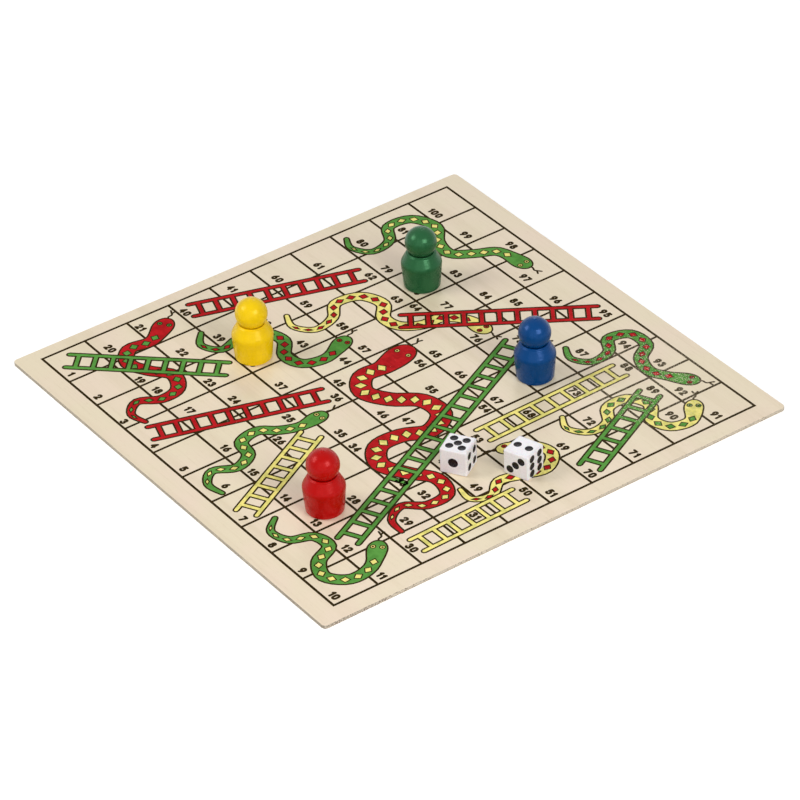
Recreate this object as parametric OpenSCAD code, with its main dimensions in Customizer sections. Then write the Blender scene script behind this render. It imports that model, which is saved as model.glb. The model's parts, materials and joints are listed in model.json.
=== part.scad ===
// Snakes and ladders set: a thin printed plywood board, four turned pawns and two dice.
// The frame stands on the table: z = 0 is the underside of the board, and x = y = 0 is the middle
// of its outline. +x runs along the first row of squares, from 1 to 10, and +y runs up the board.

/* [Board] */
// Side of one square of the playing grid
cell = 21.5; // [18:0.5:30]
// Bare wood left of the grid
margin_left = 6.9; // [4:0.1:20]
// Bare wood right of the grid
margin_right = 8.6; // [4:0.1:20]
// Bare wood below the first row
margin_near = 10.7; // [4:0.1:20]
// Bare wood above the last row
margin_far = 9.9; // [4:0.1:20]
// Radius of the board's four corners
corner_r = 2; // [0.5:0.1:8]
// Thickness of the printed face ply
face_ply_t = 0.5; // [0.3:0.05:1.5]
// Thickness of the core ply
core_ply_t = 0.8; // [0.4:0.05:4]
// Thickness of the back ply
back_ply_t = 0.5; // [0.3:0.05:1.5]

/* [Print] */
// Thickness of every ink film
ink_t = 0.05; // [0.02:0.01:0.2]
// Hairline left between neighbouring inks
ink_gap = 0.02; // [0.01:0.005:0.05]
// Width of the grid's lines
grid_line_w = 1.15; // [0.4:0.05:1.5]
// Width of the black outline round ladders and snakes
outline_w = 0.75; // [0.3:0.05:0.9]

/* [Ladders] */
// Width of a ladder between the middles of its rails
ladder_w = 9.4; // [8:0.2:13]
// Width of the colour on rails and rungs
rail_w = 1.6; // [1:0.1:2.4]
// Greatest spacing of the rungs
rung_pitch = 8.2; // [5:0.2:12]
// Length of the rails past the end rungs
rail_over = 4.2; // [2:0.2:8]

/* [Snakes] */
// Body width of the largest snake
snake_w = 8.6; // [7:0.2:10]
// Width of a tail at its tip
tail_w = 1.6; // [1:0.1:2.4]
// Head width against the body's width
head_width_share = 1.4; // [1.2:0.02:1.6]
// Head length against its width
head_length_share = 1.45; // [1.2:0.05:2]
// Length of the diamonds along a snake's back
diamond_l = 5; // [3.6:0.1:6]
// Spacing of the diamonds
diamond_pitch = 5.6; // [5:0.1:9]
// Width of a diamond against the body there
diamond_width_share = 0.76; // [0.5:0.02:0.8]
// Width of the black line round diamonds and eyes
marking_line_w = 0.5; // [0.3:0.05:0.6]
// Diameter of an eye
eye_d = 2.8; // [2.4:0.1:3]
// Length of a tongue
tongue_l = 6.4; // [4:0.2:9]
// Width of a tongue's strokes
tongue_w = 0.9; // [0.4:0.05:1]

/* [Pawns] */
// Height of a pawn
pawn_h = 29.5; // [26:0.5:45]
// Diameter of the round head
head_d = 14; // [12.6:0.2:15]
// How far below its middle the head meets the neck, against its radius
neck_drop_share = 0.8; // [0.7:0.01:0.84]
// Diameter at which the shoulders end under the head
collar_d = 12.6; // [11.4:0.1:14]
// Height of the shoulders' end above the bottom of the neck's groove
collar_rise = 0.9; // [0.3:0.1:1.2]
// Widest diameter, at the ridge round the body
ridge_d = 18; // [16.8:0.2:20]
// Height of the ridge above the table
ridge_z = 11.6; // [8:0.2:12.6]
// Radius of the soft edge along the ridge
ridge_round_r = 4; // [1:0.5:5]
// Diameter of the body just above its foot
foot_d = 16.2; // [13:0.2:16.8]
// Radius of the rounded edge of the foot
foot_round_r = 1.1; // [0.4:0.1:2]

/* [Dice] */
// Edge length of a die
die_edge = 12; // [10.5:0.5:16]
// Radius of the edges and corners
die_round_r = 0.8; // [0.4:0.1:1.4]
// Diameter of a pip
pip_d = 3.5; // [2:0.1:3.5]
// Diameter of the single pip
single_pip_d = 4.4; // [2:0.1:4.6]
// Depth of a pip's hollow
pip_depth = 0.5; // [0.4:0.05:0.8]
// Bare depth left above the paint in a hollow
pip_bare = 0.15; // [0.05:0.01:0.3]

/* [Hidden] */

// Squares along one side of the grid
squares = 10;
// Room between the paint of a pip and the wall of its hollow
paint_fit = 0.01;

grid_side = squares * cell;
board_w = margin_left + grid_side + margin_right;
board_d = margin_near + grid_side + margin_far;
board_t = back_ply_t + core_ply_t + face_ply_t;
grid_x = margin_left - board_w / 2;
grid_y = margin_near - board_d / 2;
// Pawns and dice stand on the ink
table_z = board_t + ink_t;

// Colours of woods, inks, paints and dice
wood_colour = [0.91, 0.85, 0.75];
core_colour = [0.72, 0.64, 0.54];
black_ink = [0.17, 0.12, 0.08];
green_ink = [0.30, 0.58, 0.25];
red_ink = [0.76, 0.10, 0.14];
yellow_ink = [0.98, 0.92, 0.46];
dice_colour = [0.93, 0.92, 0.92];

// Steps round a turned piece, along half a snake's head, round an eye, and in a quarter turn of a
// stroke's round end
round_steps = 96;
head_steps = 7;
eye_steps = 8;
end_steps = 2;

// Points of an arc from angle a0 to angle a1 on an ellipse
function arc(centre, rx, ry, a0, a1, steps) =
    [for (i = [0 : steps])
        let (a = a0 + (a1 - a0) * i / steps)
        centre + [rx * cos(a), ry * sin(a)]];

function unit(v) = v / norm(v);
function left_of(v) = [-v[1], v[0]];

// Point at share t of the smooth curve between b and c, which also leans on a and d
function curve_point(a, b, c, d, t) =
    (2 * b + (c - a) * t + (2 * a - 5 * b + 4 * c - d) * t * t
        + (3 * b - a - 3 * c + d) * t * t * t) / 2;

// Smooth curve through guide points, with the given steps between each pair
function curve(g, steps) =
    let (last = len(g) - 1)
    [for (i = [0 : last - 1], j = [0 : steps - (i == last - 1 ? 0 : 1)])
        curve_point(g[max(i - 1, 0)], g[i], g[i + 1], g[min(i + 2, last)], j / steps)];

// Direction of a path at each of its points
function headings(p) =
    let (last = len(p) - 1)
    [for (i = [0 : last]) unit(p[min(i + 1, last)] - p[max(i - 1, 0)])];

// Length of a path up to each of its points
function lengths(p) =
    [for (i = 0, s = 0; i < len(p); s = s + (i < len(p) - 1 ? norm(p[i + 1] - p[i]) : 0), i = i + 1) s];

// Point and direction at a distance along a path, as [point, direction]
function at_length(p, s, d) =
    let (
        i = max([for (k = [0 : len(p) - 2]) if (s[k] <= d) k]),
        step = p[i + 1] - p[i]
    )
    [p[i] + unit(step) * (d - s[i]), unit(step)];

// Outline of a path widened to its half width at each point
function ribbon(p, half) =
    let (h = headings(p), last = len(p) - 1)
    concat(
        [for (i = [0 : last]) p[i] + left_of(h[i]) * half[i]],
        [for (i = [last : -1 : 0]) p[i] - left_of(h[i]) * half[i]]
    );

// Outline of a stroke of one width along a path
function stroke(p, w) = ribbon(p, [for (q = p) w / 2]);

// Bar with round ends between two points
function capsule(a, b, r) =
    let (turn = atan2(b[1] - a[1], b[0] - a[0]))
    concat(
        arc(b, r, r, turn - 90, turn + 90, 2 * end_steps),
        arc(a, r, r, turn + 90, turn + 270, 2 * end_steps)
    );

// A place on the grid, from its share of squares across and up
function on_grid(share) = [grid_x + share[0] * cell, grid_y + share[1] * cell];

// Board: three plies glued face to face

module board_outline() {
    straight_w = board_w - 2 * corner_r;
    straight_d = board_d - 2 * corner_r;
    square([board_w, straight_d], center = true);
    square([straight_w, board_d], center = true);
    for (x = [-straight_w / 2, straight_w / 2], y = [-straight_d / 2, straight_d / 2])
        translate([x, y]) circle(r = corner_r, $fn = round_steps);
}

module ply(z, t) {
    translate([0, 0, z]) linear_extrude(t) board_outline();
}

module board_back_ply() {
    color(wood_colour) ply(0, back_ply_t);
}

module board_core_ply() {
    color(core_colour) ply(back_ply_t, core_ply_t);
}

module board_face_ply() {
    color(wood_colour) ply(back_ply_t + core_ply_t, face_ply_t);
}

// Ink films lie side by side on the face ply, with a hairline between neighbours.
module ink(colour) {
    color(colour) translate([0, 0, board_t]) linear_extrude(ink_t)
        offset(delta = -ink_gap / 2) children();
}

// Names of the inks in the tables below
GREEN = 0;
RED = 1;
YELLOW = 2;

// Ladders, each as [foot, top, colour]
ladder_shares = [
    [[8.50, 1.50], [5.50, 7.50], GREEN],
    [[0.50, 0.50], [2.45, 2.55], GREEN],
    [[9.50, 6.45], [8.50, 8.50], GREEN],
    [[0.50, 3.45], [1.50, 6.50], RED],
    [[3.50, 6.50], [5.50, 9.45], RED],
    [[3.50, 0.50], [4.45, 3.50], RED],
    [[6.60, 0.50], [5.50, 2.55], YELLOW],
    [[7.50, 5.50], [7.45, 8.50], YELLOW],
    [[9.50, 2.45], [9.45, 4.50], YELLOW]
];

module ladder_shape(ladder, grow) {
    foot = on_grid(ladder[0]);
    top = on_grid(ladder[1]);
    along = unit(top - foot);
    side = left_of(along) * ladder_w / 2;
    run = norm(top - foot);
    gaps = ceil(run / rung_pitch);
    for (s = [-1, 1])
        polygon(capsule(foot - along * rail_over + s * side, top + along * rail_over + s * side,
                        rail_w / 2 + grow));
    for (i = [0 : gaps]) {
        at = foot + along * run * i / gaps;
        half = along * (rail_w / 2 + grow);
        polygon([at - side - half, at + side - half, at + side + half, at - side + half]);
    }
}

module ladders(grow, colour = undef) {
    for (ladder = ladder_shares)
        if (colour == undef || ladder[2] == colour) ladder_shape(ladder, grow);
}

module print_ladder_outlines() {
    ink(black_ink) difference() {
        ladders(outline_w);
        ladders(0);
    }
}

module print_ladders_green() {
    ink(green_ink) ladders(0, GREEN);
}

module print_ladders_red() {
    ink(red_ink) ladders(0, RED);
}

module print_ladders_yellow() {
    ink(yellow_ink) ladders(0, YELLOW);
}

// Snakes, each as [guide points from tail to neck, body width against the largest, body, markings]
snake_shares = [
    [[[0.28, 7.22], [0.62, 7.10], [1.00, 7.36], [0.90, 7.86], [0.46, 8.16], [0.52, 8.70],
      [1.06, 8.92], [1.55, 8.62], [2.05, 8.56], [2.36, 8.94], [2.62, 9.38], [3.20, 9.50]],
     0.66, GREEN, YELLOW],
    [[[1.22, 2.98], [1.58, 2.74], [1.96, 2.98], [1.86, 3.46], [1.96, 3.94], [2.46, 4.12],
      [2.92, 3.84], [3.36, 3.96], [3.50, 4.44], [3.28, 4.96]], 0.64, GREEN, RED],
    [[[7.16, 0.66], [7.46, 0.36], [7.88, 0.48], [8.08, 0.90], [8.50, 0.96], [8.76, 0.54],
      [9.20, 0.36], [9.56, 0.70], [9.50, 1.20], [9.14, 1.60]], 0.64, GREEN, YELLOW],
    [[[6.18, 8.34], [6.54, 8.20], [6.88, 8.46], [6.82, 8.92], [6.46, 9.20], [6.60, 9.64],
      [7.08, 9.66], [7.38, 9.28], [7.82, 9.14], [8.16, 9.30], [8.50, 9.54]], 0.62, GREEN, RED],
    [[[5.90, 0.32], [5.50, 0.26], [5.20, 0.56], [5.40, 1.00], [5.20, 1.40], [4.78, 1.52],
      [4.66, 1.96], [4.90, 2.30], [5.06, 2.70], [5.03, 3.12]], 0.60, GREEN, YELLOW],
    [[[8.98, 2.28], [8.58, 2.34], [8.34, 2.74], [8.62, 3.14], [8.58, 3.64], [8.06, 3.78],
      [7.56, 3.44], [7.02, 3.20], [6.54, 3.50], [6.52, 4.06], [6.74, 4.60], [6.42, 5.10],
      [5.84, 5.06], [5.42, 4.60], [4.90, 4.34], [4.46, 4.64], [4.46, 5.14], [4.34, 5.60]],
     1.00, RED, YELLOW],
    [[[3.06, 0.44], [2.68, 0.36], [2.40, 0.68], [2.62, 1.10], [2.54, 1.54], [2.08, 1.74],
      [1.66, 1.44], [1.20, 1.26], [0.80, 1.54], [0.84, 2.04], [0.56, 2.50]], 0.72, RED, GREEN],
    [[[1.80, 4.66], [2.20, 4.54], [2.56, 4.84], [2.44, 5.34], [2.06, 5.68], [2.16, 6.22],
      [2.66, 6.42], [3.08, 6.14], [3.50, 6.22], [3.76, 6.60], [3.80, 7.04], [4.12, 7.38],
      [4.54, 7.46]], 0.66, YELLOW, RED],
    [[[7.98, 6.86], [8.34, 6.70], [8.70, 6.98], [8.66, 7.44], [8.28, 7.74], [8.28, 8.22],
      [8.70, 8.44], [9.12, 8.16], [9.52, 8.30], [9.62, 8.72], [9.32, 9.04]], 0.62, YELLOW, GREEN],
    [[[8.62, 3.92], [8.98, 3.90], [9.14, 4.28], [8.86, 4.66], [8.98, 5.12], [9.10, 5.60],
      [8.78, 5.98], [8.36, 5.86], [8.14, 5.44]], 0.60, YELLOW, RED]
];

curve_steps = 5;
// Share of a snake's length over which its body swells out of the tail
swell_share = 0.55;
// Length over which the head narrows to the neck, against its half length
neck_share = 1.7;
// Turns from the middle of the head to the flat end of its nose, and from the tip of a tail to its
// side
nose_turn = 78;
tail_turns = [20, 60];
// Places on the head as shares of its half length and half width
eye_shares = [0.30, 0.50];
// Diameter of a pupil against its eye
pupil_share = 0.4;
// Least size of a diamond's colour inside its black line, against the diamond
least_share = 0.15;
// Turn of the tongue's two tips away from its stem
fork_turn = 32;
tongue_steps = 8;
// Share of a tongue's length that is its stem
stem_share = 0.66;
// Waves along a tongue's stem, and their height against its width
wave_count = 1;
wave_share = 0.5;

function snake_path(snake) = [for (p = curve(snake[0], curve_steps)) on_grid(p)];
function snake_width(snake) = snake_w * snake[1];
function head_half_w(snake) = snake_width(snake) * head_width_share / 2;
function head_half_l(snake) = head_half_w(snake) * head_length_share;
function neck_heading(p) = unit(p[len(p) - 1] - p[len(p) - 2]);

// Half width of a body at distance s from the tip of its tail
function body_half(s, total, w) =
    tail_w / 2 + (w - tail_w) / 2 * sin(90 * min(1, s / (total * swell_share)));

// Half width at distance back from the middle of the head, where the head narrows to the body
function neck_half(snake, back, body) =
    let (turn = min(180, 180 * back / (head_half_l(snake) * neck_share)))
    body + (head_half_w(snake) - body) * (1 + cos(turn)) / 2;

// A snake from above: the tail's round end, the body, and the front half of the head, an ellipse
module snake_shape(snake, grow) {
    p = snake_path(snake);
    s = lengths(p);
    last = len(p) - 1;
    ahead = neck_heading(p);
    behind = unit(p[0] - p[1]);
    tail_r = tail_w / 2 + grow;
    nose = [for (i = [1 : head_steps]) nose_turn * i / head_steps];
    middles = concat(
        [for (a = tail_turns) p[0] + behind * tail_r * cos(a)],
        p,
        [for (a = nose) p[last] + ahead * (head_half_l(snake) + grow) * sin(a)]
    );
    halves = concat(
        [for (a = tail_turns) tail_r * sin(a)],
        [for (d = s)
            neck_half(snake, s[last] - d, body_half(d, s[last], snake_width(snake))) + grow],
        [for (a = nose) (head_half_w(snake) + grow) * cos(a)]
    );
    polygon(ribbon(middles, halves));
}

module snakes(grow, colour = undef) {
    for (snake = snake_shares)
        if (colour == undef || snake[2] == colour) snake_shape(snake, grow);
}

// A diamond at each step along the back, from the tail's end to the neck, with each side drawn in
// by shrink
module diamonds(snake, shrink) {
    p = snake_path(snake);
    s = lengths(p);
    total = s[len(s) - 1];
    reach = total - head_half_l(snake) - diamond_l / 2;
    count = floor((reach - diamond_pitch) / diamond_pitch);
    for (i = [0 : count]) {
        d = reach - i * diamond_pitch;
        place = at_length(p, s, d);
        half_l = diamond_l / 2;
        half_w = body_half(d, total, snake_width(snake)) * diamond_width_share;
        left_share = 1 - shrink * norm([half_l, half_w]) / (half_l * half_w);
        along = place[1] * half_l * left_share;
        across = left_of(place[1]) * half_w * left_share;
        if (left_share > least_share)
            polygon([place[0] + along, place[0] + across, place[0] - along, place[0] - across]);
    }
}

module eyes(snake, d) {
    p = snake_path(snake);
    ahead = neck_heading(p);
    for (side = [-1, 1])
        translate(p[len(p) - 1] + ahead * head_half_l(snake) * eye_shares[0]
                  + left_of(ahead) * side * head_half_w(snake) * eye_shares[1])
            circle(d = d, $fn = eye_steps);
}

// Everything on a snake's back that isn't its body's colour
module markings(shrink, colour = undef) {
    for (snake = snake_shares)
        if (colour == undef || snake[3] == colour) {
            diamonds(snake, shrink);
            eyes(snake, eye_d - 2 * shrink);
        }
}

module pupils() {
    for (snake = snake_shares) eyes(snake, eye_d * pupil_share);
}

function tongue_path(snake) =
    let (
        p = snake_path(snake),
        ahead = neck_heading(p),
        root = p[len(p) - 1] + ahead * head_half_l(snake),
        stem = tongue_l * stem_share
    )
    [for (i = [0 : tongue_steps])
        root + ahead * stem * i / tongue_steps
            + left_of(ahead) * tongue_w * wave_share * sin(360 * wave_count * i / tongue_steps)];

module tongues(grow) {
    for (snake = snake_shares) {
        stem = tongue_path(snake);
        end = stem[len(stem) - 1];
        ahead = neck_heading(snake_path(snake));
        turn = atan2(ahead[1], ahead[0]);
        polygon(stroke(stem, tongue_w + 2 * grow));
        for (side = [-1, 1]) {
            tip = turn + side * fork_turn;
            polygon(capsule(end, end + tongue_l * (1 - stem_share) * [cos(tip), sin(tip)],
                            tongue_w / 2 + grow));
        }
    }
}

module print_snake_outlines() {
    ink(black_ink) difference() {
        union() {
            snakes(outline_w);
            tongues(0);
        }
        snakes(0);
        ladders(outline_w);
    }
}

module body_film(colour) {
    difference() {
        snakes(0, colour);
        markings(0);
        ladders(outline_w);
    }
}

module print_snakes_green() {
    ink(green_ink) body_film(GREEN);
}

module print_snakes_red() {
    ink(red_ink) body_film(RED);
}

module print_snakes_yellow() {
    ink(yellow_ink) body_film(YELLOW);
}

module marking_film(colour) {
    difference() {
        markings(marking_line_w, colour);
        pupils();
        ladders(outline_w);
    }
}

module print_marking_outlines() {
    ink(black_ink) difference() {
        union() {
            difference() {
                markings(0);
                markings(marking_line_w);
            }
            pupils();
        }
        ladders(outline_w);
    }
}

module print_markings_green() {
    ink(green_ink) marking_film(GREEN);
}

module print_markings_red() {
    ink(red_ink) marking_film(RED);
}

module print_markings_yellow() {
    ink(yellow_ink) marking_film(YELLOW);
}

// Grid

module grid_shape() {
    for (i = [0 : squares]) {
        translate([grid_x + i * cell - grid_line_w / 2, grid_y - grid_line_w / 2])
            square([grid_line_w, grid_side + grid_line_w]);
        translate([grid_x - grid_line_w / 2, grid_y + i * cell - grid_line_w / 2])
            square([grid_side + grid_line_w, grid_line_w]);
    }
}

module print_grid_lines() {
    ink(black_ink) difference() {
        grid_shape();
        snakes(outline_w);
        tongues(ink_gap);
        ladders(outline_w);
    }
}

// Pawns

// Places of the pawns as shares of squares
yellow_pawn_share = [2.545, 3.35];
green_pawn_share = [2.60, 7.45];
red_pawn_share = [7.515, 1.565];
blue_pawn_share = [6.557, 7.295];
profile_steps = 9;

// Half outline of the body, from the middle of the foot up to the neck: a rounded foot, a wall that
// widens to the ridge, the ridge's arc, and straight shoulders up to the groove
function body_outline() =
    let (
        foot_r = foot_d / 2,
        ridge_r = ridge_d / 2,
        head_z = pawn_h - head_d / 2,
        neck_z = head_z - neck_drop_share * head_d / 2,
        neck_r = head_d / 2 * sqrt(1 - neck_drop_share * neck_drop_share),
        collar = [collar_d / 2, neck_z + collar_rise],
        wall_turn = atan2(ridge_r - foot_r, ridge_z - foot_round_r),
        shoulder_turn = atan2(ridge_r - collar[0], collar[1] - ridge_z)
    )
    concat(
        [[0, 0]],
        arc([foot_r - foot_round_r, foot_round_r], foot_round_r, foot_round_r, -90, 0, profile_steps),
        arc([ridge_r - ridge_round_r, ridge_z], ridge_round_r, ridge_round_r, -wall_turn,
            shoulder_turn, profile_steps),
        [collar, [neck_r, neck_z], [0, neck_z]]
    );

module pawn(share) {
    translate(concat(on_grid(share), [table_z])) {
        rotate_extrude($fn = round_steps) polygon(body_outline());
        translate([0, 0, pawn_h - head_d / 2]) sphere(d = head_d, $fn = round_steps);
    }
}

module pawn_yellow() {
    color([0.95, 0.80, 0.10]) pawn(yellow_pawn_share);
}

module pawn_green() {
    color([0.16, 0.39, 0.24]) pawn(green_pawn_share);
}

module pawn_red() {
    color([0.77, 0.10, 0.10]) pawn(red_pawn_share);
}

module pawn_blue() {
    color([0.04, 0.29, 0.55]) pawn(blue_pawn_share);
}

// Dice

// A die is [place as shares of squares, turn, faces in the order of face_turns].
left_die_share = [8.015, 4.330];
left_die_turn = 31.9;
left_die_faces = [5, 2, 1, 6, 4, 3];
right_die_share = [8.877, 5.233];
right_die_turn = 19.3;
right_die_faces = [2, 5, 3, 4, 6, 1];
// Turns that bring the top to each face: top, bottom, front, back, right, left
face_turns = [[0, 0, 0], [180, 0, 0], [90, 0, 0], [90, 0, 180], [90, 0, 90], [90, 0, -90]];
// Places of the pips as shares of half an edge
near_share = 0.458;
row_share = 0.596;
pip_shares = [
    [[0, 0]],
    [[-near_share, 0], [near_share, 0]],
    [[-near_share, -near_share], [0, 0], [near_share, near_share]],
    [for (x = [-1, 1], y = [-1, 1]) [x, y] * near_share],
    [[0, 0], for (x = [-1, 1], y = [-1, 1]) [x, y] * near_share],
    [for (x = [-near_share, near_share], y = [-row_share, 0, row_share]) [x, y]]
];

// Ball whose cap is a hollow of this diameter and depth
function cap_r(d, depth) = (d * d / 4 + depth * depth) / (2 * depth);

// Puts its child at every pip of a die, with the face's surface at z = 0
module at_pips(faces, value) {
    for (i = [0 : len(faces) - 1])
        if (faces[i] == value)
            rotate(face_turns[i])
                for (q = pip_shares[value - 1])
                    translate([q[0] * die_edge / 2, q[1] * die_edge / 2, die_edge / 2]) children();
}

module rounded_cube() {
    inner = die_edge - 2 * die_round_r;
    reach = inner / 2;
    cube([die_edge, inner, inner], center = true);
    cube([inner, die_edge, inner], center = true);
    cube([inner, inner, die_edge], center = true);
    for (turn = [[0, 0, 0], [90, 0, 0], [0, 90, 0]])
        rotate(turn) for (x = [-reach, reach], y = [-reach, reach])
            translate([x, y, 0]) cylinder(r = die_round_r, h = inner, center = true, $fn = round_steps);
    for (x = [-reach, reach], y = [-reach, reach], z = [-reach, reach])
        translate([x, y, z]) sphere(r = die_round_r, $fn = round_steps);
}

module place_die(share, turn) {
    translate(concat(on_grid(share), [table_z + die_edge / 2])) rotate([0, 0, turn]) children();
}

module die_body(faces) {
    difference() {
        rounded_cube();
        for (value = [1 : 6]) {
            d = value == 1 ? single_pip_d : pip_d;
            at_pips(faces, value)
                translate([0, 0, cap_r(d, pip_depth) - pip_depth])
                    sphere(r = cap_r(d, pip_depth), $fn = round_steps);
        }
    }
}

// The paint fills each hollow up to its bare depth.
module die_paint(faces) {
    for (value = [1 : 6]) {
        d = value == 1 ? single_pip_d : pip_d;
        r = cap_r(d, pip_depth);
        at_pips(faces, value)
            intersection() {
                translate([0, 0, r - pip_depth]) sphere(r = r - paint_fit, $fn = round_steps);
                translate([-d, -d, -pip_depth]) cube([2 * d, 2 * d, pip_depth - pip_bare]);
            }
    }
}

module die_left() {
    color(dice_colour) place_die(left_die_share, left_die_turn) die_body(left_die_faces);
}

module die_left_pips() {
    color(black_ink) place_die(left_die_share, left_die_turn) die_paint(left_die_faces);
}

module die_right() {
    color(dice_colour) place_die(right_die_share, right_die_turn) die_body(right_die_faces);
}

module die_right_pips() {
    color(black_ink) place_die(right_die_share, right_die_turn) die_paint(right_die_faces);
}

board_back_ply();
board_core_ply();
board_face_ply();
print_grid_lines();
print_ladder_outlines();
print_ladders_green();
print_ladders_red();
print_ladders_yellow();
print_snake_outlines();
print_snakes_green();
print_snakes_red();
print_snakes_yellow();
print_marking_outlines();
print_markings_green();
print_markings_red();
print_markings_yellow();
pawn_yellow();
pawn_green();
pawn_red();
pawn_blue();
die_left();
die_left_pips();
die_right();
die_right_pips();
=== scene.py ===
"""Dresses a snakes and ladders set: a printed plywood board, four turned pawns and two dice."""
import json
import math

import bpy
import numpy as np
from bpy.props import FloatProperty, FloatVectorProperty, IntProperty, PointerProperty
from mathutils import Matrix, Vector, geometry


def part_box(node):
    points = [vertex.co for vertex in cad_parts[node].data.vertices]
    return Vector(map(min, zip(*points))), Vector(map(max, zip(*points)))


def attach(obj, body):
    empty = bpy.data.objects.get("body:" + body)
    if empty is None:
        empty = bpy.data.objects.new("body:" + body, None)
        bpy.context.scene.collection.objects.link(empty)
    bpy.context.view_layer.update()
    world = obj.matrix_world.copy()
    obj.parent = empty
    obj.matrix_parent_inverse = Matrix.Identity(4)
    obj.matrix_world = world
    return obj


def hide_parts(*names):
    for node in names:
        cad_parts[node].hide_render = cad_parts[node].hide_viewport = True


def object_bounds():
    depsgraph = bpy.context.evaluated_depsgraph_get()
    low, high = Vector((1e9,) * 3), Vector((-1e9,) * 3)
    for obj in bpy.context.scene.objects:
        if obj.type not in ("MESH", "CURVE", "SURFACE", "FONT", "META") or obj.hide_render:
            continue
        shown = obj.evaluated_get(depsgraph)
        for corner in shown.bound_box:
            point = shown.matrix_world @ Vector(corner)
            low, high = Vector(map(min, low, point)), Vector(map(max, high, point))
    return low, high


bl_info = {
    "name": "Snakes and Ladders Set",
    "version": (1, 0, 0),
    "blender": (4, 5, 0),
    "location": "3D View > Sidebar > Board Game",
    "description": "Plywood board, printed numbers, turned pawns, dice and a studio",
    "category": "Object",
}

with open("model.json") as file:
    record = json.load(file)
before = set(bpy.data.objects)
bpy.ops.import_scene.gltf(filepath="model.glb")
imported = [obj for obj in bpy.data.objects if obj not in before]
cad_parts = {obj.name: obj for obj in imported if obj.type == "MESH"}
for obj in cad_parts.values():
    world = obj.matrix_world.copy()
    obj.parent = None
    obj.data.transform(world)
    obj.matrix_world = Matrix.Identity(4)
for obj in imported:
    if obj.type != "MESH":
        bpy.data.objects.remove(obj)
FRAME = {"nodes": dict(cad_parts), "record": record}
CAD_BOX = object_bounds()
MM = 0.001

BOARD_BODY = "board"
GRID_NODE = "print_grid_lines"
SQUARES = 10
INKS = ("black", "green", "red", "yellow")
PAWN_COLOURS = ("yellow", "green", "red", "blue")
DICE = ("left", "right")


def linear(red, green, blue):
    """Scene-linear colour of an sRGB colour given in steps of 0 to 255."""
    shares = np.array([red, green, blue]) / 255
    low = shares / 12.92
    high = ((shares + 0.055) / 1.055) ** 2.4
    return tuple(float(v) for v in np.where(shares <= 0.04045, low, high))


def length(label, about, millimetres, low=0.0):
    """A length property, whose default is given in millimetres and its lower limit in metres."""
    return FloatProperty(name=label, description=about, default=millimetres * MM, min=low,
                         precision=5, unit="LENGTH", subtype="DISTANCE")


def number(label, about, value, low=0.0):
    """A plain number property with a lower limit."""
    return FloatProperty(name=label, description=about, default=value, min=low)


def share(label, about, value):
    """A share between 0 and 1."""
    return FloatProperty(name=label, description=about, default=value, min=0, max=1,
                         subtype="FACTOR")


def angle(label, about, degrees):
    """An angle property, whose default is given in degrees."""
    return FloatProperty(name=label, description=about, default=math.radians(degrees),
                         unit="ROTATION", subtype="ANGLE")


def colour(label, about, red, green, blue):
    """A colour property, whose default is given in sRGB steps of 0 to 255."""
    return FloatVectorProperty(name=label, description=about, default=linear(red, green, blue),
                               min=0, max=1, subtype="COLOR")


class BoardSettings(bpy.types.PropertyGroup):
    """Edges and colours of the three plies."""
    corner: length("Corner radius", "Radius of the board's corners", 2)
    edge_round: length("Edge rounding", "Rounding of the sanded top and bottom edges", 0.2)
    core_recess: length("Core recess", "How far the core sits behind the face plies", 0.02)
    ragged: length("Ragged edge", "Height of the unevenness that the saw left", 0.012)
    wood: colour("Wood", "Pale veneer under its clear coat", 233, 219, 190)
    wood_warm: colour("Warm wood", "Pinkish patches of the veneer", 236, 217, 194)
    wood_dark: colour("Wood fibres", "Darker fibres of the veneer", 216, 199, 168)
    cut: colour("Cut edge", "Left and right edges, sawn across the face's fibres", 200, 188, 169)
    # Darker than the cut colour above: painted shade of the near edge, which faces away from the
    # lights. The streaks along the fibres are real.
    cut_long: colour("Long cut edge", "Near and far edges, sawn along the fibres", 178, 167, 149)
    cut_dark: colour("Fibre ends", "Dark ends of fibres in the cut edge", 104, 82, 66)


class PrintSettings(bpy.types.PropertyGroup):
    """Ink colours, and the sizes of the numbers."""
    digit_h: length("Digit height", "Height of the numbers", 4.0)
    stroke: length("Stroke", "Width of a number's strokes", 1.14)
    digit_gap: length("Digit gap", "Bare wood between two digits", 0.34)
    side_inset: length("Side inset", "From a number to the side of its square on the right", 3.0)
    low_inset: length("Low inset", "From a number to the side of its square below", 2.3)
    least_inset: length("Least inset", "Least room round a number that the art pushes aside", 1.2)
    art_gap: length("Gap to the art", "Bare wood between a number and a snake or ladder", 0.7)
    pinholes: share("Pinholes", "Share of wood that shows in a pinhole of coloured ink", 0.8)
    black_pinholes: share("Pinholes in black", "Share of wood in a pinhole of black ink", 0.4)
    black_thin: share("Thin black", "Share of wood seen through worn black ink", 0.05)
    black: colour("Black ink", "Grid, outlines and numbers", 54, 41, 15)
    green: colour("Green ink", "Green ladders, snakes and markings", 96, 160, 72)
    red: colour("Red ink", "Red ladders, snakes and markings", 197, 30, 36)
    yellow: colour("Yellow ink", "Yellow ladders, snakes and markings", 255, 240, 140)


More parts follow.
